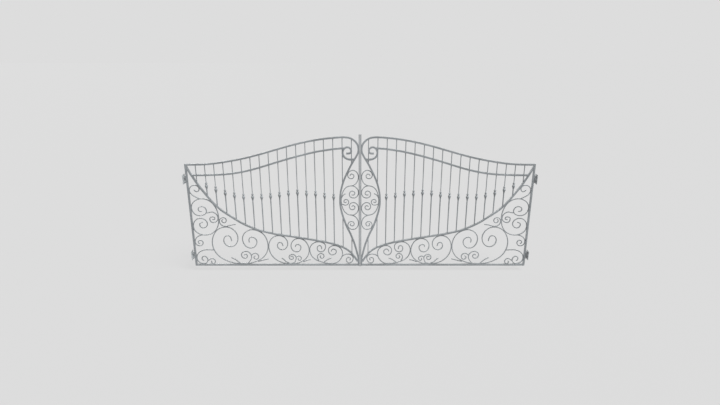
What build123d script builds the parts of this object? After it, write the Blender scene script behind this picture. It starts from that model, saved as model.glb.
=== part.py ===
# A double-leaf wrought iron drive gate, shut. X runs along the gate, Y away from the street, Z up.
# The origin is the middle of the lower left wall plate's back face, where that plate meets its pillar.
import os
from math import cos, hypot, radians, sin, sqrt

from build123d import *

# Sizes of the frame bars of one leaf
leaf_width = 2005.0  # outer face of the hinge stile to the gate's middle
stile_height = 1253.0  # underside of the bottom rail to the underside of the top rail, at the stile
frame_bar = 20.0  # square bar of the stile and all rails
meeting_bar_width = 12.4
meeting_bar_top = 1611.0
meeting_bar_drop = 7.0  # how far the meeting bar reaches below the bottom rail
meeting_gap = 5.2  # between the two leaves

# Sizes of the bars inside the frame
scroll_bar = 10.0  # square bar of all scrolls
picket_radius = 5.0  # a plain picket
picket_sides = 12  # flats left by the hammer
picket_count = 18
first_picket_inset = 102.0  # stile's inner face to the first picket's middle
last_picket_inset = 82.0  # last picket's middle to the meeting bar

# A turned picket: radius and height of each edge over or under its knuckle's middle
head_radius = 5.5
head_height = 450.0
rod_radius = 4.5
flare_height = 50.0
collar_radius = 13.0
collar_height = 31.0
neck_radius = 9.0
neck_height = 19.0
knuckle_radius = 17.0
knuckle_rim = 4.0  # half the height of the widest part
waist_radius = 10.0
waist_depth = 22.0
shank_radius = 7.0
cone_depth = 48.0
foot_radius = 5.5
foot_depth = 560.0
first_knuckle = 2  # the first picket from the stile that has one
knuckle_heights = [1008, 964, 922, 892, 874, 874, 874, 884, 898, 917, 927, 915, 910, 888, 874]

# Sizes of the hinges
lower_hinge_height = 139.0  # underside of the bottom rail to the middle of the lower plate
upper_hinge_drop = 161.0  # middle of the upper plate to the underside of the top rail
hinge_offset = 9.0  # stile's outer face to the pin's axis
plate_clearance = 15.0  # pin's axis to the wall plate's inner face
plate_thickness = 5.0
plate_height = 115.0
plate_depth = 70.0
plate_corner = 6.0
bolt_radius = 5.5
countersink_radius = 9.5
bolt_spacing_y = 44.0
bolt_spacing_z = 89.0
pin_radius = 5.0
pin_clearance = 0.05
barrel_radius = 8.0
eye_height = 30.0  # the leaf's own knuckle
seat_gap = 0.3  # under the leaf's knuckle
head_gap = 1.0  # over the leaf's knuckle
fixed_knuckle_height = 24.0
web_thickness = 8.0
pin_head_radius = 7.0
pin_head_height = 3.0
pin_head_chamfer = 1.0
pin_tail = 5.0  # how far the pin stands out below the lower fixed knuckle

# Places that follow from the sizes above
upper_hinge_height = stile_height - upper_hinge_drop
middle_x = plate_thickness + plate_clearance + hinge_offset + leaf_width
rail_underside = -lower_hinge_height
stile_inner = -leaf_width + frame_bar
meeting_face = -meeting_gap / 2 - meeting_bar_width
clear_width = meeting_face - stile_inner
clear_height = stile_height - frame_bar
knuckle_stack = 2 * fixed_knuckle_height + seat_gap + eye_height + head_gap

# All of the ironwork is drawn on one sheet: x from the gate's middle, y up from the bottom rail's underside
face = Plane(origin=(middle_x, 0, rail_underside), x_dir=(1, 0, 0), z_dir=(0, -1, 0))
mirror_plane = Plane.YZ.offset(middle_x)

# The curves are given as stations on a sheet of this clear width and height inside the frame, and
# follow the frame when it is made wider or higher. A station is x, y and the bar's heading in degrees.
sheet_stile_inner = -1985.0
sheet_meeting_face = -15.0
sheet_rail_top = 20.0
sheet_clear_width = sheet_meeting_face - sheet_stile_inner
sheet_clear_height = 1233.0
stretch_x = clear_width / sheet_clear_width
stretch_y = clear_height / sheet_clear_height

top_rail_stations = [
    (-2005, 1263, 0), (-1780, 1267, 3), (-1462, 1309, 10), (-1042, 1411, 16.5), (-622, 1524, 12),
    (-306, 1572, 5), (-190, 1579, 0), (-92, 1560, -28), (-40, 1513, -54), (-18, 1438, -90),
]
second_rail_stations = [
    (-1940, 1139, 0), (-1750, 1141, 1.5), (-1462, 1160, 8), (-1252, 1201, 14.5), (-937, 1296, 17),
    (-622, 1384, 14), (-411, 1428, 8.5), (-250, 1449, 4), (-185, 1453, 0),
]
# the second rail's curled end, from its cross bar round to the bow bar
curled_end_stations = [
    (-157, 1393, 0), (-128, 1393, 0), (-100, 1422, 90), (-143, 1465, 180), (-197, 1398, -90),
    (-105, 1322, 0), (-70, 1326, 8),
]
swag_stations = [
    (-1992, 1250, -68), (-1937, 1136, -61), (-1862, 1005, -58), (-1787, 895, -55), (-1678, 759, -47),
    (-1464, 592, -35.5), (-1252, 479, -22.5), (-1042, 419, -12.5), (-832, 383, -9), (-517, 329, -10),
    (-306, 279, -17), (-200, 238, -27), (-120, 182, -43), (-72, 120, -53), (-30, 55, -62),
]
bow_stations = [
    (-18, 1438, -90), (-49, 1348, -122), (-110, 1243, -117), (-180, 1093, -112), (-222, 948, -101),
    (-233, 820, -90), (-215, 688, -76), (-165, 528, -70), (-104, 390, -70), (-61, 268, -75),
    (-31, 148, -78), (-18, 70, -90), (-18, 20, -90),
]

# Scrolls beside the stile
corner_hook = [
    (-1927, 964, -75), (-1895, 941, 0), (-1867, 976, 90), (-1915, 1018, 180), (-1982, 955, -90),
    (-1945, 893, -35), (-1868, 852, -22),
]
side_scroll = [
    (-1863, 700, 205), (-1903, 723, 90), (-1857, 758, 0), (-1808, 705, -90), (-1893, 645, 180),
    (-1981, 738, 90), (-1848, 854, 0), (-1672, 628, -90), (-1720, 460, -128),
    (-1855, 399, 180), (-1982, 508, 90),
    (-1888, 611, 0), (-1812, 543, -90), (-1868, 490, 180), (-1905, 531, 90), (-1866, 560, 0),
]
side_branch = [
    (-1818, 680, -5), (-1790, 682, 5), (-1753, 690, 0), (-1680, 617, -90), (-1743, 558, 180),
    (-1778, 602, 90), (-1742, 630, 0), (-1718, 608, -90), (-1747, 595, 180),
]
side_sprout = [
    (-1478, 533, 180), (-1535, 525, 197), (-1602, 510, 180), (-1667, 570, 90), (-1620, 620, 0),
    (-1585, 587, -90), (-1612, 556, 180), (-1638, 580, 90), (-1622, 596, 0),
]
low_curl = [
    (-1880, 400, 184), (-1981, 310, -90), (-1930, 259, 0), (-1888, 299, 90), (-1916, 331, 180),
    (-1944, 306, -90), (-1925, 289, 0),
]
corner_scroll = [
    (-1768, 205, 180), (-1850, 207, 180), (-1982, 96, -90), (-1905, 25, 0), (-1852, 73, 90),
    (-1890, 121, 180), (-1921, 91, -90), (-1900, 66, 0),
]
corner_curl = [
    (-1850, 66, 15), (-1798, 91, 0), (-1762, 53, -90), (-1788, 25, 180), (-1811, 47, 90),
    (-1800, 58, 0),
]

# The large scroll, open at the top, and what grows from its foot
large_scroll = [
    (-1543, 321, 90), (-1582, 390, 180), (-1636, 328, -90), (-1562, 248, 0), (-1464, 363, 90),
    (-1597, 501, 180), (-1777, 288, -90), (-1455, 25, 0), (-1405, 25, 0), (-1108, 262, 90),
    (-1196, 441, 150), (-1283, 467, 180), (-1410, 343, -90), (-1318, 230, 0), (-1240, 313, 90), (-1300, 370, 180),
    (-1334, 330, -90), (-1331, 303, -80),
]
large_sprout = [
    (-1364, 28, 50), (-1317, 118, 90), (-1383, 186, 180), (-1438, 138, -90), (-1398, 95, 0),
    (-1367, 125, 90), (-1389, 147, 180), (-1404, 134, -90),
]
large_bud = [
    (-1318, 125, 70), (-1272, 160, 0), (-1230, 118, -90), (-1260, 83, 180), (-1289, 108, 90),
    (-1270, 126, 10),
]
large_leaf_left = [(-1563, 105, -30), (-1510, 74, -35), (-1462, 28, -45)]
large_leaf_right = [(-1112, 87, 190), (-1160, 74, 197), (-1240, 54, 190)]

# The middle scroll and what grows from its foot
middle_scroll = [
    (-930, 256, 90), (-962, 303, 180), (-995, 260, -90), (-942, 208, 0), (-870, 290, 90),
    (-975, 391, 180), (-1100, 245, -90), (-870, 25, 0), (-810, 25, 0), (-615, 203, 90),
    (-738, 353, 180), (-832, 255, -90), (-768, 180, 0), (-713, 238, 90), (-752, 276, 180),
    (-780, 245, -90),
]
middle_sprout = [
    (-835, 28, 5), (-786, 60, 75), (-776, 100, 90), (-822, 146, 180), (-862, 108, -90),
    (-834, 78, 0), (-810, 103, 90), (-829, 121, 180), (-841, 110, -90),
]
middle_bud = [
    (-777, 103, 60), (-746, 124, 0), (-713, 95, -90), (-735, 66, 180), (-751, 84, 90),
    (-745, 94, 20),
]
middle_leaf_left = [(-952, 96, -25), (-915, 66, -48), (-862, 34, -15)]
middle_leaf_right = [(-598, 75, 180), (-628, 72, 195), (-695, 50, 190)]

# The small scroll, what grows from it, and the last curl before the meeting bar
small_scroll = [
    (-463, 216, 90), (-488, 262, 180), (-517, 225, -90), (-475, 180, 0), (-415, 250, 90),
    (-501, 311, 180), (-607, 205, -90), (-340, 25, 0), (-212, 165, 90), (-313, 262, 180),
    (-382, 198, -90), (-335, 140, 0), (-287, 183, 90), (-320, 216, 180), (-348, 186, -100),
]
small_sprout = [
    (-500, 66, 115), (-517, 112, 90), (-470, 157, 0), (-437, 122, -90), (-464, 96, 180),
    (-485, 115, 90), (-470, 128, 0),
]
small_leaf = [(-348, 94, 188), (-385, 83, 210), (-440, 44, 215)]
end_curl = [
    (-216, 118, 55), (-148, 150, 0), (-83, 95, -90), (-133, 34, 180), (-166, 72, 90),
    (-139, 106, 0), (-116, 86, -90), (-128, 70, -150),
]

# Scrolls between the bow bar and the meeting bar
bow_upper = [
    (-95, 1014, 8), (-19, 1115, 90), (-83, 1196, 180), (-141, 1138, -90), (-103, 1097, 0),
    (-70, 1127, 90), (-94, 1152, 180), (-115, 1130, -90),
]
bow_middle = [
    (-98, 904, -20), (-80, 900, 0), (-60, 920, 90), (-89, 948, 180), (-124, 906, -90),
    (-75, 864, 0), (-18, 930, 90), (-100, 1011, 180), (-219, 830, -90), (-97, 652, 0),
    (-18, 738, 90), (-80, 808, 180), (-125, 760, -90), (-90, 719, 0), (-59, 748, 90),
    (-80, 769, 180), (-98, 757, -130),
]
bow_lower = [
    (-95, 648, -8), (-19, 548, -90), (-85, 471, 180), (-144, 523, 90), (-103, 572, 0),
    (-70, 540, -90), (-95, 515, 180), (-116, 532, 90), (-106, 546, 40),
]
bow_bud = [
    (-215, 790, -15), (-172, 776, 0), (-132, 812, 90), (-163, 846, 180), (-188, 822, -90),
    (-172, 807, 0), (-160, 818, 80),
]
bow_leaf = [(-214, 868, 60), (-197, 896, 52), (-165, 917, 20)]


def on_sheet(x, y, heading):
    """A station's place and direction after the sheet is stretched to the frame."""
    place_x = stile_inner + (x - sheet_stile_inner) * stretch_x
    place_y = frame_bar + (y - sheet_rail_top) * stretch_y
    along = (cos(radians(heading)) * stretch_x, sin(radians(heading)) * stretch_y)
    return (place_x, place_y), (along[0] / hypot(*along), along[1] / hypot(*along))


def bar_line(stations):
    """Joins the stations with tangent arcs, two from each station to the next."""
    spots = [on_sheet(*station) for station in stations]
    for (start, heading_in), (end, heading_out) in zip(spots[:-1], spots[1:]):
        run = (end[0] - start[0], end[1] - start[1])
        both = (heading_in[0] + heading_out[0], heading_in[1] + heading_out[1])
        gain = run[0] * both[0] + run[1] * both[1]
        length_2 = run[0] ** 2 + run[1] ** 2
        turn = 2 * (1 - heading_in[0] * heading_out[0] - heading_in[1] * heading_out[1])
        if turn < 1e-9:
            reach = length_2 / (2 * gain)
        else:
            reach = (sqrt(gain**2 + turn * length_2) - gain) / turn
        first = (start[0] + reach * heading_in[0], start[1] + reach * heading_in[1])
        last = (end[0] - reach * heading_out[0], end[1] - reach * heading_out[1])
        middle = ((first[0] + last[0]) / 2, (first[1] + last[1]) / 2)
        bend = abs(heading_in[0] * run[1] - heading_in[1] * run[0])
        if turn < 1e-9 and bend < 1e-6 * length_2:
            Line(start, end)
        else:
            TangentArc(start, middle, tangent=heading_in)
            TangentArc(middle, end, tangent=(last[0] - first[0], last[1] - first[1]))


# Straight bars of the frame
with BuildPart() as meeting_bar:
    with BuildSketch(face):
        with Locations((meeting_face, -meeting_bar_drop)):
            Rectangle(
                meeting_bar_width, meeting_bar_top + meeting_bar_drop, align=(Align.MIN, Align.MIN)
            )
    extrude(amount=frame_bar / 2, both=True)

with BuildPart() as bottom_rail:
    with BuildSketch(face):
        with Locations((stile_inner, 0)):
            Rectangle(clear_width, frame_bar, align=(Align.MIN, Align.MIN))
    extrude(amount=frame_bar / 2, both=True)

# The long curved bars. Each is coped to the bars it ends on.
with BuildPart() as top_rail:
    with BuildSketch(face):
        with BuildLine():
            bar_line(top_rail_stations)
        trace(line_width=frame_bar)
    extrude(amount=frame_bar / 2, both=True)
    add(meeting_bar.part, mode=Mode.SUBTRACT)

with BuildPart() as hinge_stile:
    with BuildSketch(face):
        with Locations((-leaf_width, 0)):
            Rectangle(frame_bar, stile_height + frame_bar / 2, align=(Align.MIN, Align.MIN))
    extrude(amount=frame_bar / 2, both=True)
    add(top_rail.part, mode=Mode.SUBTRACT)

with BuildPart() as bow_bar:
    with BuildSketch(face):
        with BuildLine():
            bar_line(bow_stations)
        trace(line_width=frame_bar)
    extrude(amount=frame_bar / 2, both=True)
    add(meeting_bar.part, mode=Mode.SUBTRACT)

with BuildPart() as swag_rail:
    with BuildSketch(face):
        with BuildLine():
            bar_line(swag_stations)
        trace(line_width=frame_bar)
    extrude(amount=frame_bar / 2, both=True)
    add([hinge_stile.part, top_rail.part, bow_bar.part, bottom_rail.part], mode=Mode.SUBTRACT)

with BuildPart() as second_rail:
    with BuildSketch(face):
        with BuildLine():
            bar_line(second_rail_stations)
        trace(line_width=frame_bar)
        with BuildLine():
            bar_line(curled_end_stations)
        trace(line_width=frame_bar)
    extrude(amount=frame_bar / 2, both=True)
    add([swag_rail.part, bow_bar.part], mode=Mode.SUBTRACT)

frame_pieces = [meeting_bar, bottom_rail, top_rail, hinge_stile, bow_bar, swag_rail, second_rail]

# The field that the pickets fill, between the middle lines of the top rail, the bow bar and the swag rail
with BuildPart() as picket_field:
    with BuildSketch(face):
        with BuildLine():
            bar_line(top_rail_stations)
            bar_line(bow_stations)
            foot = on_sheet(*bow_stations[-1])[0]
            swag_end = on_sheet(*swag_stations[-1])[0]
            Line(foot, swag_end)
            bar_line(swag_stations)
            Line(on_sheet(*swag_stations[0])[0], on_sheet(*top_rail_stations[0])[0])
        make_face()
    extrude(amount=knuckle_radius * 2, both=True)

# A turned picket with its knuckle's middle at height 0, and a plain one. The rails cut both to length.
turned_profile = [
    (foot_radius, -meeting_bar_top),
    (foot_radius, -foot_depth),
    (shank_radius, -cone_depth),
    (waist_radius, -waist_depth),
    (knuckle_radius, -knuckle_rim),
    (knuckle_radius, knuckle_rim),
    (neck_radius, neck_height),
    (collar_radius, collar_height),
    (rod_radius, flare_height),
    (head_radius, head_height),
    (head_radius, meeting_bar_top),
]
with BuildPart() as turned_picket:
    for radius, height in turned_profile:
        with BuildSketch(Plane.XY.offset(height)):
            RegularPolygon(radius, picket_sides, rotation=180 / picket_sides)
    loft(ruled=True)

with BuildPart() as plain_picket:
    with BuildSketch():
        RegularPolygon(picket_radius, picket_sides, rotation=180 / picket_sides)
    extrude(amount=meeting_bar_top)

picket_pitch = (clear_width - first_picket_inset - last_picket_inset) / (picket_count - 1)
picket_places = [stile_inner + first_picket_inset + i * picket_pitch for i in range(picket_count)]
with BuildPart() as pickets:
    for number, x in enumerate(picket_places, start=1):
        turned = number - first_knuckle
        if turned in range(len(knuckle_heights)):
            knuckle_y = on_sheet(0, knuckle_heights[turned], 0)[0][1]
            with Locations((middle_x + x, 0, rail_underside + knuckle_y)):
                add(turned_picket.part)
        else:
            with Locations((middle_x + x, 0, rail_underside)):
                add(plain_picket.part)
    add(picket_field.part, mode=Mode.INTERSECT)
    add([piece.part for piece in frame_pieces], mode=Mode.SUBTRACT)

# On each picket the highest piece stands over the second rail, the others under it.
columns = [
    pickets.solids().filter_by(
        lambda solid: abs(solid.center().X - middle_x - x) < picket_pitch / 2
    ).sort_by(Axis.Z)
    for x in picket_places
]
with BuildPart() as upper_pickets:
    add([column[-1] for column in columns])
with BuildPart() as lower_pickets:
    add([solid for column in columns for solid in column[:-1]])

# Scrolls. Each group is one forged whole, coped to the frame and to the group before it.
scroll_groups = {
    "side_scrolls": [
        corner_hook, side_scroll, side_branch, side_sprout, low_curl, corner_scroll, corner_curl,
    ],
    "large_scroll": [large_scroll, large_sprout, large_bud, large_leaf_left, large_leaf_right],
    "middle_scroll": [
        middle_scroll, middle_sprout, middle_bud, middle_leaf_left, middle_leaf_right,
    ],
    "small_scroll": [small_scroll, small_sprout, small_leaf, end_curl],
    "bow_scrolls": [bow_upper, bow_middle, bow_lower, bow_bud, bow_leaf],
}
scrollwork = {}
for name, bars in scroll_groups.items():
    with BuildPart() as group:
        with BuildSketch(face):
            for stations in bars:
                with BuildLine():
                    bar_line(stations)
                trace(line_width=scroll_bar)
        extrude(amount=scroll_bar / 2, both=True)
        add([piece.part for piece in frame_pieces], mode=Mode.SUBTRACT)
        if scrollwork:
            add([piece.part for piece in scrollwork.values()], mode=Mode.SUBTRACT)
    scrollwork[name] = group

# Hinges. A wall plate holds a fixed knuckle over and under the leaf's own, on one pin.
hinge_middles = [rail_underside + lower_hinge_height, rail_underside + upper_hinge_height]
plate_face = Plane(origin=(plate_thickness, 0, 0), x_dir=(0, 1, 0), z_dir=(1, 0, 0))
hinge_x = plate_thickness + plate_clearance

with BuildPart() as wall_plates:
    for middle_z in hinge_middles:
        with BuildSketch(plate_face):
            with Locations((0, middle_z)):
                RectangleRounded(plate_depth, plate_height, plate_corner)
        extrude(amount=-plate_thickness)
        lower_z = middle_z - knuckle_stack / 2
        upper_z = middle_z + knuckle_stack / 2 - fixed_knuckle_height
        for knuckle_z in (lower_z, upper_z):
            with BuildSketch(Plane.XY.offset(knuckle_z)):
                with Locations((hinge_x, 0)):
                    Circle(barrel_radius)
                with Locations((plate_thickness, 0)):
                    Rectangle(plate_clearance, web_thickness, align=(Align.MIN, Align.CENTER))
                with Locations((hinge_x, 0)):
                    Circle(pin_radius, mode=Mode.SUBTRACT)
            extrude(amount=fixed_knuckle_height)
        with Locations(plate_face):
            with Locations((0, middle_z)):
                with GridLocations(bolt_spacing_y, bolt_spacing_z, 2, 2):
                    CounterSinkHole(bolt_radius, countersink_radius, plate_thickness, 90)

with BuildPart() as hinge_pins:
    for middle_z in hinge_middles:
        with BuildSketch(Plane.XY.offset(middle_z - knuckle_stack / 2 - pin_tail)):
            with Locations((hinge_x, 0)):
                Circle(pin_radius)
        extrude(amount=pin_tail + knuckle_stack)
        with BuildSketch(Plane.XY.offset(middle_z + knuckle_stack / 2)):
            with Locations((hinge_x, 0)):
                Circle(pin_head_radius)
        extrude(amount=pin_head_height)
        chamfer(hinge_pins.faces().sort_by(Axis.Z)[-1].edges(), length=pin_head_chamfer)

with BuildPart() as hinge_eyes:
    for middle_z in hinge_middles:
        eye_z = middle_z - knuckle_stack / 2 + fixed_knuckle_height + seat_gap
        with BuildSketch(Plane.XY.offset(eye_z)):
            with Locations((hinge_x, 0)):
                Circle(barrel_radius)
                Rectangle(hinge_offset, web_thickness, align=(Align.MIN, Align.CENTER))
                Circle(pin_radius + pin_clearance, mode=Mode.SUBTRACT)
        extrude(amount=eye_height)

# Every piece is made for the left half and mirrored for the right.
half = {
    "hinge_stile": hinge_stile,
    "bottom_rail": bottom_rail,
    "meeting_bar": meeting_bar,
    "top_rail": top_rail,
    "bow_bar": bow_bar,
    "second_rail": second_rail,
    "swag_rail": swag_rail,
    "upper_pickets": upper_pickets,
    "lower_pickets": lower_pickets,
    **scrollwork,
    "hinge_eyes": hinge_eyes,
    "wall_plates": wall_plates,
    "hinge_pins": hinge_pins,
}
os.makedirs("parts", exist_ok=True)
for name, piece in half.items():
    piece.part.label = "left_" + name
    export_step(piece.part, "parts/left_" + name + ".step")
    with BuildPart() as twin:
        mirror(piece.part, about=mirror_plane)
    twin.part.label = "right_" + name
    export_step(twin.part, "parts/right_" + name + ".step")
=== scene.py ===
# %% [markdown]
# # A wrought iron drive gate with two leaves
#
# The gate is all bars: square rails and scrolls, round pickets with a turned knuckle, and a pair of
# hinges on each side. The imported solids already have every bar's true course, so this lesson dresses
# them. It gives the iron its paint, turns the pickets properly round, and adds what a smith leaves
# behind: welds where bars meet, and bolts in the wall plates.

import math

import bmesh
import bpy
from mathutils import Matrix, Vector
from mathutils.bvhtree import BVHTree


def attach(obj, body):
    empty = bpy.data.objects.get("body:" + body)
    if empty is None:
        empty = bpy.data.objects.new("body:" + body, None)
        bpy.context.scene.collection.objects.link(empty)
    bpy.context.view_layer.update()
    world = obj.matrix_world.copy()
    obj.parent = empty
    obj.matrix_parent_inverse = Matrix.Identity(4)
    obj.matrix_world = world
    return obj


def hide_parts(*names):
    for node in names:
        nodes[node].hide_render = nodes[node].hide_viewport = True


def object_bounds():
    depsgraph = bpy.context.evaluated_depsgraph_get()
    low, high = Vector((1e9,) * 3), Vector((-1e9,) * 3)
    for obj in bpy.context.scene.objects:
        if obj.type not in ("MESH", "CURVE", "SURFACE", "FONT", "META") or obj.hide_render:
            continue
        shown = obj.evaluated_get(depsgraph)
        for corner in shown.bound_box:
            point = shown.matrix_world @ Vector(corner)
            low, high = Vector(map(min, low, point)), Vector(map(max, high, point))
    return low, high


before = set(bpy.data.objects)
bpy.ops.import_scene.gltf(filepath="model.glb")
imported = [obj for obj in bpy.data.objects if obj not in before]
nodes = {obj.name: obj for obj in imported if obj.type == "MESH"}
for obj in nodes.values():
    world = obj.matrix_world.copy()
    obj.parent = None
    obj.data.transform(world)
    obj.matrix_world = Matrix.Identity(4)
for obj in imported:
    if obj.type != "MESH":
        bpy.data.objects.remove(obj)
cad_low, cad_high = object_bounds()
MM = 0.001
SAME_PLACE = 0.01 * MM  # corners nearer than this are one corner
SIDES = ("left", "right")
print("pieces from the frame:", len(nodes))

# %% [markdown]
# ## A short hand for nodes
#
# Every finish and every repeated piece below is a node tree, and a tree made in code is mostly
# "add a node, set its values, join its sockets". One helper does all three: a value that is a socket
# is joined, and any other value is set. Sockets are found by name, or by number where names repeat.

# %% Node helper
def node_in(tree, kind, sockets=None, **settings):
    """Adds a node, sets its settings, then joins or sets its input sockets."""
    node = tree.nodes.new(kind)
    for name, value in settings.items():
        setattr(node, name, value)
    for key, value in (sockets or {}).items():
        if isinstance(value, bpy.types.NodeSocket):
            tree.links.new(value, node.inputs[key])
        else:
            node.inputs[key].default_value = value
    return node


def math_in(tree, operation, first, second=0.0, clamp=False):
    """The result of one sum on two numbers or sockets."""
    node = node_in(tree, "ShaderNodeMath", {0: first, 1: second}, operation=operation)
    node.use_clamp = clamp
    return node.outputs[0]


# %% [markdown]
# ## Paint over forged iron
#
# The real gate is bar stock, hammered a little, then brushed with grey paint. Up close such paint is
# never one colour: it clouds over the length of a bar, it is thinner on the edges, and dust lies on
# whatever faces the sky. Each of these is one mask, and each mask moves the colour and the roughness
# a little. The edge mask compares the true normal with one that is rounded over 1.5 mm, so it follows
# every bar without any unwrapping. The hammer's marks are bump: wide soft cells under a fine grain. The
# cells are as wide as the bar is: small ones on the thin scrolls, larger ones on rails. The wall plates
# get a paler paint of the same make, and that paleness is painted light: it lifts the shade that falls
# in the hinge recesses between the plates, their knuckles and the stiles.

# %% Paint finish
CLOUD_SCALE, MOTTLE_SCALE, PATCH_SCALE, GRAIN_SCALE = 4.0, 55.0, 28.0, 420.0
DENT_DEPTH, GRAIN_DEPTH = 1.2 * MM, 0.25 * MM
DARKER, LIGHTER = 0.82, 1.13  # the clouds' two ends, as shares of the paint's own colour
EDGE_ROUNDING = 1.5 * MM
EDGE_WEAR = 0.75  # how far a worn edge goes towards the thin paint
PAINT_ROUGHNESS = 0.42


def blend_colour(tree, mask, first, second):
    """Mixes two colours, or sockets, by a mask."""
    node = tree.nodes.new("ShaderNodeMix")
    node.data_type = "RGBA"
    for number, value in ((0, mask), (6, first), (7, second)):
        if isinstance(value, bpy.types.NodeSocket):
            tree.links.new(value, node.inputs[number])
        else:
            node.inputs[number].default_value = value
    return node.outputs[2]


def ramp_in(tree, value, low, high):
    """A smooth mask: 0 where the value is at low, 1 where it is at high."""
    node = node_in(
        tree,
        "ShaderNodeMapRange",
        {"Value": value, "From Min": low, "From Max": high},
        interpolation_type="SMOOTHSTEP",
    )
    return node.outputs[0]


def edge_mask(tree, radius):
    """1 on the sharp edges of a bar and 0 on its flats."""
    rounded = node_in(tree, "ShaderNodeBevel", {"Radius": radius}, samples=4)
    plain = node_in(tree, "ShaderNodeNewGeometry")
    likeness = node_in(
        tree,
        "ShaderNodeVectorMath",
        {0: rounded.outputs[0], 1: plain.outputs["Normal"]},
        operation="DOT_PRODUCT",
    )
    return ramp_in(tree, likeness.outputs["Value"], 0.995, 0.80), rounded.outputs[0]


def new_finish(name):
    """An empty material with its tree, shader and object coordinates."""
    material = bpy.data.materials.new(name)
    material.use_nodes = True
    tree = material.node_tree
    shader = tree.nodes["Principled BSDF"]
    place = node_in(tree, "ShaderNodeTexCoord").outputs["Object"]
    return material, tree, shader, place


def noise_in(tree, place, scale, detail=3.0, roughness=0.55):
    """Plain noise over the object's own coordinates."""
    node = node_in(
        tree,
        "ShaderNodeTexNoise",
        {"Vector": place, "Scale": scale, "Detail": detail, "Roughness": roughness},
    )
    return node.outputs[0]


def painted_iron(name, base, thin, dust, hammer_mm):
    """Grey brush paint: clouded, thin on edges, dusty on top, with hammer marks beneath."""
    material, tree, shader, place = new_finish(name)
    clouds = ramp_in(tree, noise_in(tree, place, CLOUD_SCALE, 4.0), 0.35, 0.68)
    mottle = ramp_in(tree, noise_in(tree, place, MOTTLE_SCALE, 5.0), 0.30, 0.72)
    darker = tuple(DARKER * channel for channel in base[:3]) + (1.0,)
    lighter = tuple(LIGHTER * channel for channel in base[:3]) + (1.0,)
    colour = blend_colour(tree, clouds, darker, lighter)
    colour = blend_colour(tree, math_in(tree, "MULTIPLY", mottle, 0.35), colour, base)

    edges, soft_normal = edge_mask(tree, EDGE_ROUNDING)
    patchy = ramp_in(tree, noise_in(tree, place, PATCH_SCALE, 4.0), 0.42, 0.62)
    worn = math_in(tree, "MULTIPLY", edges, patchy)
    colour = blend_colour(tree, math_in(tree, "MULTIPLY", worn, EDGE_WEAR), colour, thin)

    up = node_in(
        tree, "ShaderNodeSeparateXYZ", {0: node_in(tree, "ShaderNodeNewGeometry").outputs["Normal"]}
    )
    skyward = ramp_in(tree, up.outputs["Z"], 0.45, 0.95)
    settled = math_in(tree, "MULTIPLY", skyward, math_in(tree, "MULTIPLY", mottle, 0.45))
    colour = blend_colour(tree, settled, colour, dust)
    tree.links.new(colour, shader.inputs["Base Color"])

    rough = math_in(tree, "MULTIPLY_ADD", mottle, 0.12)
    rough.node.inputs[2].default_value = PAINT_ROUGHNESS
    rough = math_in(tree, "ADD", rough, math_in(tree, "MULTIPLY", settled, 0.35), clamp=True)
    tree.links.new(rough, shader.inputs["Roughness"])
    tree.links.new(math_in(tree, "MULTIPLY", worn, 0.5), shader.inputs["Metallic"])

    cells = node_in(
        tree,
        "ShaderNodeTexVoronoi",
        {"Vector": place, "Scale": 1.0 / (hammer_mm * MM), "Smoothness": 1.0},
        feature="SMOOTH_F1",
    )
    dents = node_in(
        tree,
        "ShaderNodeBump",
        {"Height": cells.outputs["Distance"], "Normal": soft_normal, "Strength": 0.8,
         "Distance": DENT_DEPTH},
    )
    grain = node_in(
        tree,
        "ShaderNodeBump",
        {"Height": noise_in(tree, place, GRAIN_SCALE, 2.0), "Normal": dents.outputs[0],
         "Strength": 0.5, "Distance": GRAIN_DEPTH},
    )
    tree.links.new(grain.outputs[0], shader.inputs["Normal"])
    return material


GREY_PAINT = (0.248, 0.265, 0.277, 1.0)
# the wall plates' paint is paler than the leaves' as painted light, lifting the shade in the hinge recesses
PLATE_PAINT_PAINTED_LIGHT = (0.390, 0.410, 0.420, 1.0)
THIN_PAINT = (0.44, 0.45, 0.46, 1.0)
PALE_DUST = (0.46, 0.46, 0.44, 1.0)
rail_paint = painted_iron("painted rails", GREY_PAINT, THIN_PAINT, PALE_DUST, hammer_mm=16)
scroll_paint = painted_iron("painted scrolls", GREY_PAINT, THIN_PAINT, PALE_DUST, hammer_mm=9)
picket_paint = painted_iron("painted pickets", GREY_PAINT, THIN_PAINT, PALE_DUST, hammer_mm=30)
weld_paint = painted_iron("painted welds", GREY_PAINT, THIN_PAINT, PALE_DUST, hammer_mm=3)
plate_paint_painted_light = painted_iron("wall plate paint with painted light", PLATE_PAINT_PAINTED_LIGHT, THIN_PAINT, PALE_DUST, hammer_mm=40)

# %% [markdown]
# ## Bare steel for the hinge pins
#
# Paint doesn't last on a hinge pin: the leaf wipes it off, and grease gathers dirt under the head. So
# the pins are bare. Rings left by the lathe go round the pin, which a wave pattern along its height
# gives, and a dark film lies on it in patches.

# %% Steel finish
WAVE_RADIANS = 20.0  # the wave pattern turns this many radians a metre at scale 1
RING_MM = 3.77
RING_DEPTH = 0.1 * MM
STEEL = (0.42, 0.42, 0.43, 1.0)
GREASE = (0.16, 0.15, 0.14, 1.0)


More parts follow.
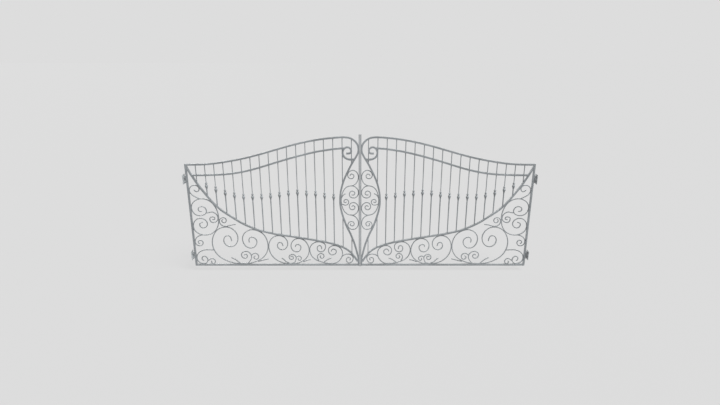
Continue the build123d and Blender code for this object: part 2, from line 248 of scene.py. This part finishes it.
def bare_steel(name, base, film, ring_mm):
    """Turned steel with fine rings along Z and patches of dark grease."""
    material, tree, shader, place = new_finish(name)
    patches = ramp_in(tree, noise_in(tree, place, 90.0, 5.0), 0.40, 0.66)
    tree.links.new(blend_colour(tree, patches, base, film), shader.inputs["Base Color"])
    rough = math_in(tree, "MULTIPLY_ADD", patches, 0.28)
    rough.node.inputs[2].default_value = 0.28
    tree.links.new(rough, shader.inputs["Roughness"])
    rings = node_in(
        tree,
        "ShaderNodeTexWave",
        {"Vector": place, "Scale": 2 * math.pi / (ring_mm * MM) / WAVE_RADIANS,
         "Distortion": 1.5, "Detail": 2.0},
        wave_type="BANDS",
        bands_direction="Z",
    )
    _, soft_normal = edge_mask(tree, 0.8 * MM)
    bump = node_in(
        tree,
        "ShaderNodeBump",
        {"Height": rings.outputs["Fac"], "Strength": 0.25,
         "Distance": RING_DEPTH, "Normal": soft_normal},
    )
    tree.links.new(bump.outputs[0], shader.inputs["Normal"])
    shader.inputs["Metallic"].default_value = 1.0
    return material


pin_steel = bare_steel("hinge pin steel", STEEL, GREASE, ring_mm=RING_MM)

# %% Finishes on the frame's pieces
RAILS = ("hinge_stile", "bottom_rail", "meeting_bar", "top_rail", "bow_bar", "second_rail", "swag_rail")
SCROLLS = ("side_scrolls", "large_scroll", "middle_scroll", "small_scroll", "bow_scrolls")
PICKETS = ("upper_pickets", "lower_pickets")
finishes = {name: rail_paint for name in RAILS + ("hinge_eyes",)}
finishes.update({name: scroll_paint for name in SCROLLS})
finishes.update({name: picket_paint for name in PICKETS})
finishes.update({"wall_plates": plate_paint_painted_light, "hinge_pins": pin_steel})
for side in SIDES:
    for name, finish in finishes.items():
        piece = nodes[side + "_" + name]
        piece.data.materials.clear()
        piece.data.materials.append(finish)
print("finishes:", sorted({finish.name for finish in finishes.values()}))

# %% [markdown]
# ## Reading the pickets from the frame
#
# The frame's pickets have twelve flats, which is enough for a collision. To turn them round, the
# lesson needs each picket's axis, its foot and head, and the height of its knuckle. All of that is in
# the frame's mesh: the loose triangles are merged in a copy, the copy falls apart into one island for
# each picket, and the widest ring of an island is its knuckle.

# %% Islands of a mesh
KNUCKLE_HALF = 12 * MM  # a picket that is wider than this to one side has a knuckle
RING_BAND = 0.5 * MM  # corners this near to the widest one are on the knuckle's ring


def islands_of(piece):
    """The places of the corners of each separate solid in a frame piece."""
    copy = bmesh.new()
    copy.from_mesh(piece.data)
    bmesh.ops.remove_doubles(copy, verts=copy.verts, dist=SAME_PLACE)
    left = dict.fromkeys(copy.verts)  # in the mesh's own order, so that each run gives the same
    islands = []
    while left:
        first = next(iter(left))
        del left[first]
        reach = [first]
        island = []
        while reach:
            corner = reach.pop()
            island.append(corner.co.copy())
            for edge in corner.link_edges:
                other = edge.other_vert(corner)
                if other in left:
                    del left[other]
                    reach.append(other)
        islands.append(island)
    copy.free()
    return sorted(islands, key=lambda island: (round(island[0].x, 2), -max(c.z for c in island)))


def measure_picket(corners):
    """Axis, foot, head and knuckle height (None on a plain picket), in metres."""
    axis_x = (min(c.x for c in corners) + max(c.x for c in corners)) / 2
    foot = min(c.z for c in corners)
    head = max(c.z for c in corners)
    widest = max(abs(c.y) for c in corners)
    ring = [c.z for c in corners if abs(c.y) > widest - RING_BAND]
    knuckle = (min(ring) + max(ring)) / 2 if widest > KNUCKLE_HALF else None
    return {"x": axis_x, "foot": foot, "head": head, "knuckle": knuckle}


pickets = {}
for side in SIDES:
    for name in PICKETS:
        pickets[side, name] = [measure_picket(i) for i in islands_of(nodes[side + "_" + name])]
        turned = sum(picket["knuckle"] is not None for picket in pickets[side, name])
        print(side, name, len(pickets[side, name]), "pieces,", turned, "with a knuckle")

# %% [markdown]
# ## Tree helpers
#
# Three things here are too many, or too long and crooked, to place by hand: the pickets, the welds and
# the bolts. Each is grown by Geometry Nodes on a seed mesh that carries its own numbers, then turned
# into plain mesh. These helpers open a tree, close it, read a stored number and run it on a seed.

# %% Tree helpers
def new_tree(name, sizes):
    """A geometry tree with a mesh input and named number inputs. Returns the tree and its inputs."""
    tree = bpy.data.node_groups.new(name, "GeometryNodeTree")
    tree.interface.new_socket(name="Geometry", in_out="INPUT", socket_type="NodeSocketGeometry")
    for label, value in sizes.items():
        whole = isinstance(value, int)
        kind = "NodeSocketInt" if whole else "NodeSocketFloat"
        socket = tree.interface.new_socket(name=label, in_out="INPUT", socket_type=kind)
        socket.default_value = value
    tree.interface.new_socket(name="Finish", in_out="INPUT", socket_type="NodeSocketMaterial")
    tree.interface.new_socket(name="Geometry", in_out="OUTPUT", socket_type="NodeSocketGeometry")
    return tree, tree.nodes.new("NodeGroupInput").outputs


def close_tree(tree, geometry, finish, smooth=True):
    """Ends a tree in real, finished mesh."""
    real = node_in(tree, "GeometryNodeRealizeInstances", {0: geometry})
    shaded = node_in(tree, "GeometryNodeSetShadeSmooth", {0: real.outputs[0], 2: smooth})
    done = node_in(tree, "GeometryNodeSetMaterial", {0: shaded.outputs[0], 2: finish})
    tree.links.new(done.outputs[0], tree.nodes.new("NodeGroupOutput").inputs[0])


def attribute_in(tree, label):
    """A number stored on the seed's points."""
    node = node_in(tree, "GeometryNodeInputNamedAttribute", {"Name": label}, data_type="FLOAT")
    return node.outputs[0]


def vector_in(tree, x=0.0, y=0.0, z=0.0):
    """A vector from three numbers or sockets."""
    return node_in(tree, "ShaderNodeCombineXYZ", {0: x, 1: y, 2: z}).outputs[0]


def seed_mesh(name, points, edges, numbers):
    """A mesh of points and edges, whose points carry named numbers."""
    mesh = bpy.data.meshes.new(name)
    mesh.from_pydata(points, edges, [])
    for label, values in numbers.items():
        layer = mesh.attributes.new(label, "FLOAT", "POINT")
        layer.data.foreach_set("value", values)
    seed = bpy.data.objects.new(name, mesh)
    bpy.context.collection.objects.link(seed)
    return seed


def grow(seed, tree, finish, name):
    """Runs a tree on a seed and returns the result as one plain mesh piece."""
    modifier = seed.modifiers.new("grow", "NODES")
    modifier.node_group = tree
    for socket in tree.interface.items_tree:
        if socket.in_out == "INPUT" and socket.name == "Finish":
            modifier[socket.identifier] = finish
    grown = seed.evaluated_get(bpy.context.evaluated_depsgraph_get())
    mesh = bpy.data.meshes.new_from_object(grown)
    mesh.name = name
    seed.modifiers.remove(modifier)
    bpy.data.objects.remove(seed)
    piece = bpy.data.objects.new(name, mesh)
    bpy.context.collection.objects.link(piece)
    return piece


# %% [markdown]
# ## Round pickets
#
# The pickets differ only in length, in where the knuckle sits and in whether there is one. The seed is
# a mesh of single points, one where each knuckle is, and each point carries four numbers: its own
# height, how far the rod goes up, how far the shank goes down, and whether the picket is turned. The
# tree stands a line on each point, hangs another below it where there is a knuckle, and sweeps both
# into bars. The bars swell a little along their length, as drawn-out iron does, so their radius is a
# Map Range of the height over the knuckle. The knuckle's radius comes from a Float Curve, the outline
# that a turner would cut.

# %% The picket tree
PLAIN_RADIUS = 5.0 * MM
ROD = {"from": 50 * MM, "to": 450 * MM, "thin": 4.5 * MM, "thick": 5.5 * MM}
SHANK = {"from": -48 * MM, "to": -560 * MM, "thin": 7.0 * MM, "thick": 5.5 * MM}
# the turner's outline: height over the knuckle's middle and radius, in millimetres
OUTLINE = (
    (-48, 7.0), (-38, 7.9), (-24, 10.4), (-13, 14.4), (-6, 16.5), (0, 17), (5, 16.4), (11, 13.4),
    (16, 9.9), (19, 9), (22, 9.6), (26, 12.2), (31, 13), (36, 12.0), (41, 8.4), (46, 5.2), (50, 4.5),
)


def bar_on_points(tree, points, ring, length, taper, chosen=True, steps=8):
    """A tapered round bar on each chosen point along Z. A negative length goes down."""
    line = node_in(tree, "GeometryNodeCurvePrimitiveLine", {"Start": (0, 0, 0), "End": (0, 0, 1)})
    line = node_in(tree, "GeometryNodeResampleCurve", {"Curve": line.outputs[0], "Count": steps})
    placed = node_in(
        tree, "GeometryNodeInstanceOnPoints",
        {"Points": points, "Instance": line.outputs[0], "Selection": chosen,
         "Scale": vector_in(tree, 1.0, 1.0, length)},
    )
    real = node_in(tree, "GeometryNodeRealizeInstances", {0: placed.outputs[0]})
    here = node_in(tree, "ShaderNodeSeparateXYZ", {0: node_in(tree, "GeometryNodeInputPosition").outputs[0]})
    over = math_in(tree, "SUBTRACT", here.outputs["Z"], attribute_in(tree, "start"))
    swell = node_in(
        tree, "ShaderNodeMapRange",
        {"Value": over, "From Min": taper["from"], "From Max": taper["to"],
         "To Min": taper["thin"] - PLAIN_RADIUS, "To Max": taper["thick"] - PLAIN_RADIUS},
    )
    wider = math_in(tree, "MULTIPLY", swell.outputs[0], attribute_in(tree, "turned"))
    bar = node_in(
        tree, "GeometryNodeCurveToMesh",
        {"Curve": real.outputs[0], "Profile Curve": ring, "Scale": math_in(tree, "ADD", wider, PLAIN_RADIUS),
         "Fill Caps": True},
    )
    return bar.outputs[0]


def picket_tree():
    """Rod, shank and knuckle on each point."""
    tree, given = new_tree("turned pickets", {"Sides": 24, "Rings": 44})
    points = node_in(tree, "GeometryNodeMeshToPoints", {"Mesh": given["Geometry"]}).outputs[0]
    ring = node_in(
        tree, "GeometryNodeCurvePrimitiveCircle", {"Resolution": given["Sides"], "Radius": 1.0}
    ).outputs[0]
    up = bar_on_points(tree, points, ring, attribute_in(tree, "up"), ROD)
    down = bar_on_points(
        tree, points, ring, attribute_in(tree, "down"), SHANK, chosen=attribute_in(tree, "turned")
    )

    low, high = OUTLINE[0][0] * MM, OUTLINE[-1][0] * MM
    widest = max(radius for _, radius in OUTLINE) * MM
    line = node_in(
        tree, "GeometryNodeCurvePrimitiveLine", {"Start": (0, 0, low), "End": (0, 0, high)}
    )
    rings = node_in(tree, "GeometryNodeResampleCurve", {"Curve": line.outputs[0], "Count": given["Rings"]})
    along = node_in(tree, "GeometryNodeSplineParameter").outputs["Factor"]
    outline = node_in(tree, "ShaderNodeFloatCurve", {"Value": along})
    curve = outline.mapping.curves[0]
    marks = [((height * MM - low) / (high - low), radius * MM / widest) for height, radius in OUTLINE]
    curve.points[0].location = marks[0]
    curve.points[1].location = marks[-1]
    for mark in marks[1:-1]:
        curve.points.new(*mark)
    outline.mapping.update()
    knuckle = node_in(
        tree, "GeometryNodeCurveToMesh",
        {"Curve": rings.outputs[0], "Profile Curve": ring,
         "Scale": math_in(tree, "MULTIPLY", outline.outputs[0], widest), "Fill Caps": True},
    )
    placed = node_in(
        tree, "GeometryNodeInstanceOnPoints",
        {"Points": points, "Instance": knuckle.outputs[0], "Selection": attribute_in(tree, "turned")},
    )
    joined = tree.nodes.new("GeometryNodeJoinGeometry")
    for part in (up, down, placed.outputs[0]):
        tree.links.new(part, joined.inputs[0])
    close_tree(tree, joined.outputs[0], given["Finish"])
    return tree


# %% Growing the pickets
turning = picket_tree()
for (side, name), found in pickets.items():
    starts = [p["knuckle"] if p["knuckle"] is not None else p["foot"] for p in found]
    seed = seed_mesh(
        "seed",
        [(p["x"], 0.0, z) for p, z in zip(found, starts)],
        [],
        {
            "start": starts,
            "up": [p["head"] - z for p, z in zip(found, starts)],
            "down": [p["foot"] - z for p, z in zip(found, starts)],
            "turned": [float(p["knuckle"] is not None) for p in found],
        },
    )
    piece = grow(seed, turning, picket_paint, side + "_round_" + name)
    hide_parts(side + "_" + name)
    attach(piece, side + "_leaf")
    print(piece.name, len(piece.data.polygons), "faces")

# %% [markdown]
# ## Welds
#
# Every joint of such a gate is welded all round, and the bead is what the eye catches first up close.
# No joint has to be listed: two bars that meet share a patch where one face lies on the other, and the
# weld runs along that patch's outline. So each bar's faces are tested against its neighbours. A face
# whose corners all lie on a neighbour, and that looks into it, is part of a patch, and the edges that
# only one such face has are the outline. The frame's curves are cut into short straight facets, so
# "on" means within half a millimetre.

# %% Finding the joints
ON_MM = 0.5
FACING = -0.7  # two faces look into each other when their normals' dot product is under this
LEAF_BARS = RAILS + SCROLLS + PICKETS + ("hinge_eyes",)


def clean_copy(piece):
    """A frame piece as welded mesh, its search tree and its box."""
    copy = bmesh.new()
    copy.from_mesh(piece.data)
    bmesh.ops.remove_doubles(copy, verts=copy.verts, dist=SAME_PLACE)
    corners = [vert.co for vert in copy.verts]
    low = [min(c[i] for c in corners) - MM for i in range(3)]
    high = [max(c[i] for c in corners) + MM for i in range(3)]
    return copy, BVHTree.FromBMesh(copy), low, high


def patch_outline(copy, neighbour, low, high):
    """The outline edges of the faces of one bar that lie on a neighbour and look into it."""
    def lies_on(place):
        return all(low[i] < place[i] < high[i] for i in range(3)) and (
            neighbour.find_nearest(place, ON_MM * MM)[0] is not None
        )

    touching = {vert for vert in copy.verts if lies_on(vert.co)}
    patch = set()
    for face in copy.faces:
        if all(vert in touching for vert in face.verts):
            _, normal, _, _ = neighbour.find_nearest(face.calc_center_median(), 2 * ON_MM * MM)
            if normal is not None and face.normal.dot(normal) < FACING:
                patch.add(face)
    return [edge for edge in copy.edges if sum(face in patch for face in edge.link_faces) == 1]


outlines = {}
for side in SIDES:
    bars = {name: clean_copy(nodes[side + "_" + name]) for name in LEAF_BARS}
    found = []
    for name, (copy, _, low, high) in bars.items():
        for other, (_, tree, other_low, other_high) in bars.items():
            apart = any(high[i] < other_low[i] or other_high[i] < low[i] for i in range(3))
            if other == name or apart:
                continue
            for edge in patch_outline(copy, tree, other_low, other_high):
                found.append((name, *(vert.co.copy() for vert in edge.verts)))
    for copy, _, _, _ in bars.values():
        copy.free()
    outlines[side] = found
    print(side, "joint outlines:", len(found), "edges,",
          round(sum((a - b).length for _, a, b in found), 2), "m of weld")

# %% [markdown]
# ## Growing the welds
#
# The outlines are the seed. The tree turns them to curves, takes a point every few millimetres, and
# sweeps a small ring along them. An outline shorter than one step is left out. A weld bead is a row of
# little pools, so noise makes the ring swell and shrink along the way. Half of the bead sinks into the
# bars, as a real fillet weld does. Thick bars have a thicker bead, and the hinge eyes a fine one
# on their upright seams only, because the fixed knuckles pass close above and below them.

# %% The weld tree
POOL_SCALE = 260.0
UPRIGHT = 0.9  # share of an edge's length that must be height
BEAD = {"rail": 1.9 * MM, "scroll": 1.3 * MM, "eye": 0.7 * MM}


def weld_tree():
    """Beads along the seed's edges."""
    tree, given = new_tree("weld beads", {"Step": 3.2 * MM, "Sides": 6, "Unevenness": 0.55})
    place = node_in(tree, "GeometryNodeInputPosition").outputs[0]
    path = node_in(tree, "GeometryNodeMeshToCurve", {"Mesh": given["Geometry"]}).outputs[0]
    run = node_in(tree, "GeometryNodeSplineLength").outputs["Length"]
    too_short = node_in(tree, "FunctionNodeCompare", {0: run, 1: given["Step"]}, operation="LESS_THAN")
    path = node_in(
        tree, "GeometryNodeDeleteGeometry", {0: path, "Selection": too_short.outputs[0]}, domain="CURVE"
    ).outputs[0]
    path = node_in(
        tree, "GeometryNodeResampleCurve", {"Curve": path, "Length": given["Step"]}, mode="LENGTH"
    )
    pools = node_in(tree, "ShaderNodeTexNoise", {"Vector": place, "Scale": POOL_SCALE, "Detail": 1.0})
    swell = node_in(
        tree, "ShaderNodeMapRange",
        {"Value": pools.outputs[0], "From Min": 0.3, "From Max": 0.7,
         "To Min": math_in(tree, "SUBTRACT", 1.0, given["Unevenness"]), "To Max": 1.0},
    )
    ring = node_in(
        tree, "GeometryNodeCurvePrimitiveCircle", {"Resolution": given["Sides"], "Radius": 1.0}
    )
    bead = node_in(
        tree, "GeometryNodeCurveToMesh",
        {"Curve": path.outputs[0], "Profile Curve": ring.outputs[0],
         "Scale": math_in(tree, "MULTIPLY", swell.outputs[0], attribute_in(tree, "bead")),
         "Fill Caps": True},
    )
    close_tree(tree, bead.outputs[0], given["Finish"])
    return tree


# %% Growing the beads
welding = weld_tree()
for side, found in outlines.items():
    places, edges, beads = {}, [], []
    for name, start, end in found:
        upright = abs(end.z - start.z) > UPRIGHT * (end - start).length
        if name == "hinge_eyes" and not upright:
            continue
        kind = "eye" if name == "hinge_eyes" else "rail" if name in RAILS else "scroll"
        ends = []
        for corner in (start, end):
            key = tuple(round(c, 5) for c in corner)
            if key not in places:
                places[key] = len(places)
                beads.append(BEAD[kind])
            ends.append(places[key])
        if ends[0] != ends[1]:
            # sorted, because two bars that share an edge give it once each way round
            edges.append(tuple(sorted(ends)))
    seed = seed_mesh("seed", list(places), sorted(set(edges)), {"bead": beads})
    piece = grow(seed, welding, weld_paint, side + "_welds")
    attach(piece, side + "_leaf")
    print(piece.name, len(piece.data.polygons), "faces")

# %% [markdown]
# ## Bolts in the wall plates
#
# Each wall plate has four countersunk holes, so the bolts that belong there have a cone head that
# finishes flush, with a six-sided socket. The head is rings of points joined with quads: a round rim,
# the socket's hexagon, the socket's floor, and the cone behind. All rings have 24 points, and the
# hexagon's are simply pulled in to six straight sides. The bolts are painted over with the plates.

# %% Bolt head
BOLT_HEAD_MM = 9.2
SOCKET_MM = 3.0
PLATE_MM = 5.0
BOLT_GRID_MM = (22.0, 44.5)
RING_POINTS = 24


def ring_radius(kind, size, turn):
    """Radius in millimetres of a round ring, or of a hexagon with this half width, at an angle."""
    if kind == "round":
        return size
    return size / math.cos((turn + math.pi / 6) % (math.pi / 3) - math.pi / 6)


def bolt_head():
    """A countersunk head with a socket, its face at height 0 and looking up."""
    rings = (
        ("round", 5.2, -4.0), ("round", BOLT_HEAD_MM - 0.2, -0.35), ("round", BOLT_HEAD_MM - 0.5, -0.1),
        ("hexagon", SOCKET_MM + 0.25, -0.1), ("hexagon", SOCKET_MM, -0.4), ("hexagon", SOCKET_MM, -3.2),
    )
    points, faces = [], []
    for kind, size, height in rings:
        for i in range(RING_POINTS):
            turn = 2 * math.pi * i / RING_POINTS
            radius = ring_radius(kind, size, turn) * MM
            points.append((radius * math.cos(turn), radius * math.sin(turn), height * MM))
    for row in range(len(rings) - 1):
        for i in range(RING_POINTS):
            a, b = row * RING_POINTS + i, row * RING_POINTS + (i + 1) % RING_POINTS
            faces.append((a, b, b + RING_POINTS, a + RING_POINTS))
    faces.append(tuple(reversed(range(RING_POINTS))))
    faces.append(tuple(range((len(rings) - 1) * RING_POINTS, len(rings) * RING_POINTS)))
    mesh = bpy.data.meshes.new("bolt head")
    mesh.from_pydata(points, [], faces)
    head = bpy.data.objects.new("bolt head", mesh)
    bpy.context.collection.objects.link(head)
    return head


def bolt_tree(head):
    """The head on each point, tipped about Y by the point's own angle and spun at random."""
    tree, given = new_tree("wall bolts", {"Seed": 4})
    shape = node_in(tree, "GeometryNodeObjectInfo", {"Object": head}).outputs["Geometry"]
    spin = node_in(
        tree, "FunctionNodeRandomValue", {2: 0.0, 3: math.pi / 3, 8: given["Seed"]}, data_type="FLOAT"
    )
    points = node_in(tree, "GeometryNodeMeshToPoints", {"Mesh": given["Geometry"]}).outputs[0]
    placed = node_in(
        tree, "GeometryNodeInstanceOnPoints",
        {"Points": points, "Instance": shape,
         "Rotation": vector_in(tree, 0.0, attribute_in(tree, "tip"), 0.0)},
    )
    spun = node_in(
        tree, "GeometryNodeRotateInstances",
        {0: placed.outputs[0], "Rotation": vector_in(tree, 0.0, 0.0, spin.outputs[1]), "Local Space": True},
    )
    close_tree(tree, spun.outputs[0], given["Finish"], smooth=False)
    return tree


# %% Growing the bolts
head = bolt_head()
bolting = bolt_tree(head)
for side in SIDES:
    plates = nodes[side + "_wall_plates"]
    outer = cad_low[0] if side == "left" else cad_high[0]
    inward = 1 if side == "left" else -1
    heights = [corner.co.z for corner in plates.data.vertices if abs(corner.co.x - outer) < 0.1 * MM]
    cut = (min(heights) + max(heights)) / 2
    points = []
    for band in ([z for z in heights if z < cut], [z for z in heights if z > cut]):
        middle_z = (min(band) + max(band)) / 2
        for y in (-BOLT_GRID_MM[0], BOLT_GRID_MM[0]):
            for z in (-BOLT_GRID_MM[1], BOLT_GRID_MM[1]):
                points.append((outer + inward * PLATE_MM * MM, y * MM, middle_z + z * MM))
    seed = seed_mesh("seed", points, [], {"tip": [inward * math.pi / 2] * len(points)})
    # the bolts share the wall plates' paint, painted light included
    piece = grow(seed, bolting, plate_paint_painted_light, side + "_wall_bolts")
    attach(piece, "pillars")
    print(piece.name, len(points), "bolts,", len(piece.data.polygons), "faces")
bpy.data.objects.remove(head)

# %% [markdown]
# ## Floor, light and camera
#
# The gate hangs clear of a plain pale floor. In the photograph the tops of the rails are the palest
# faces, and a face turned to the right is paler than one turned to the left. So the main lamp is soft,
# far off, above and to the right of the camera. A low one behind on the left reaches the faces that it
# misses, such as the right hinges' plates and the gate's back, without flattening the round pickets,
# and the sky gives a little light from all round. The floor's own colour is dull, to send up no more
# light than a yard does, while the camera and mirrors see it as the photograph's pale grey, a little
# darker where the gate's shadow falls.

# %% Stage
middle = Vector(((cad_low[0] + cad_high[0]) / 2, 0.0, (cad_low[2] + cad_high[2]) / 2))
FLOOR_DROP = 0.06
PALE = (0.723, 0.723, 0.723, 1.0)
DULL = (0.45, 0.45, 0.45, 1.0)
FLOOR_GLOW = 0.99  # makes up for the floor's own shade far from the lamps
FLOOR_SHARE = 0.88  # how much of what the camera sees of the floor is that glow
FLOOR_REACH = 60.0
SKY_LEVEL = 0.20
KEY_LEVEL, LOW_LEVEL = 1.56, 0.50


def seen_in(tree):
    """1 for the camera, a mirror and glass, and 0 for the light that falls on the gate."""
    path = node_in(tree, "ShaderNodeLightPath").outputs
    seen = math_in(tree, "MAXIMUM", path["Is Camera Ray"], path["Is Glossy Ray"])
    return math_in(tree, "MAXIMUM", seen, path["Is Transmission Ray"])


def pale_stage():
    """Floor and backdrop in one sheet, lit by itself to the camera so that it stays even."""
    mesh = bpy.data.meshes.new("floor")
    low = cad_low[2] - FLOOR_DROP
    far = FLOOR_REACH
    mesh.from_pydata(
        [(-far, -far, low), (far, -far, low), (far, far, low), (-far, far, low)], [], [(0, 1, 2, 3)]
    )
    floor = bpy.data.objects.new("floor", mesh)
    bpy.context.collection.objects.link(floor)
    material = bpy.data.materials.new("pale floor")
    material.use_nodes = True
    tree = material.node_tree
    shader = tree.nodes["Principled BSDF"]
    shader.inputs["Base Color"].default_value = DULL
    shader.inputs["Roughness"].default_value = 0.9
    shader.inputs["Specular IOR Level"].default_value = 0.1
    glow = node_in(tree, "ShaderNodeEmission", {"Color": PALE, "Strength": FLOOR_GLOW})
    share = math_in(tree, "MULTIPLY", seen_in(tree), FLOOR_SHARE)
    mixed = node_in(tree, "ShaderNodeMixShader", {0: share, 1: shader.outputs[0], 2: glow.outputs[0]})
    tree.links.new(mixed.outputs[0], tree.nodes["Material Output"].inputs[0])
    mesh.materials.append(material)


def pale_world():
    """Even soft light from all round, which the camera sees as the same pale grey."""
    world = bpy.data.worlds.new("pale world")
    world.use_nodes = True
    tree = world.node_tree
    light = tree.nodes["Background"]
    light.inputs["Color"].default_value = (1.0, 1.0, 1.0, 1.0)
    light.inputs["Strength"].default_value = SKY_LEVEL
    seen = node_in(tree, "ShaderNodeBackground", {"Color": PALE, "Strength": 1.0})
    mixed = node_in(
        tree, "ShaderNodeMixShader", {0: seen_in(tree), 1: light.outputs[0], 2: seen.outputs[0]}
    )
    tree.links.new(mixed.outputs[0], tree.nodes["World Output"].inputs[0])
    bpy.context.scene.world = world


def far_lamp(name, towards, softness, level):
    """A soft light so far off that it lights both leaves alike. Level 1 shows a colour as written."""
    light = bpy.data.lights.new(name, "SUN")
    light.angle = math.radians(softness)
    light.energy = level * math.pi
    lamp = bpy.data.objects.new(name, light)
    lamp.location = middle + Vector(towards)
    lamp.rotation_euler = (middle - lamp.location).to_track_quat("-Z", "Y").to_euler()
    bpy.context.collection.objects.link(lamp)


pale_stage()
pale_world()
far_lamp("key from above right", (0.66, -0.54, 1.40), softness=32, level=KEY_LEVEL)
far_lamp("low light from behind left", (-0.55, 0.90, 0.30), softness=40, level=LOW_LEVEL)

# %% [markdown]
# ## The camera
#
# The focal length, in pixels of the photograph's width, and the camera's height and distance are the
# ones that put a flat gate's outline where the photograph has it.

# %% Camera
FOCAL_PX = 488.9
PHOTO_WIDTH_PX = 720
EYE_FROM_MIDDLE = Vector((0.0, -5.436, 1.797))
AIM_FROM_MIDDLE = Vector((0.0, 0.0, 0.006))
eye = bpy.data.cameras.new("eye")
eye.sensor_width = 36.0
eye.lens = FOCAL_PX / PHOTO_WIDTH_PX * eye.sensor_width
camera = bpy.data.objects.new("eye", eye)
camera.location = middle + EYE_FROM_MIDDLE
aim = middle + AIM_FROM_MIDDLE
camera.rotation_euler = (aim - camera.location).to_track_quat("-Z", "Y").to_euler()
bpy.context.collection.objects.link(camera)
bpy.context.scene.camera = camera
bpy.context.scene.view_settings.view_transform = "Standard"

# %% [markdown]
# ## Sizes and the end
#
# The box of the frame's solids is printed. A dressed piece must stay inside the size that was packed.

# %% Sizes and the end
print("frame box:", [round(v, 4) for v in (*cad_low, *cad_high)])
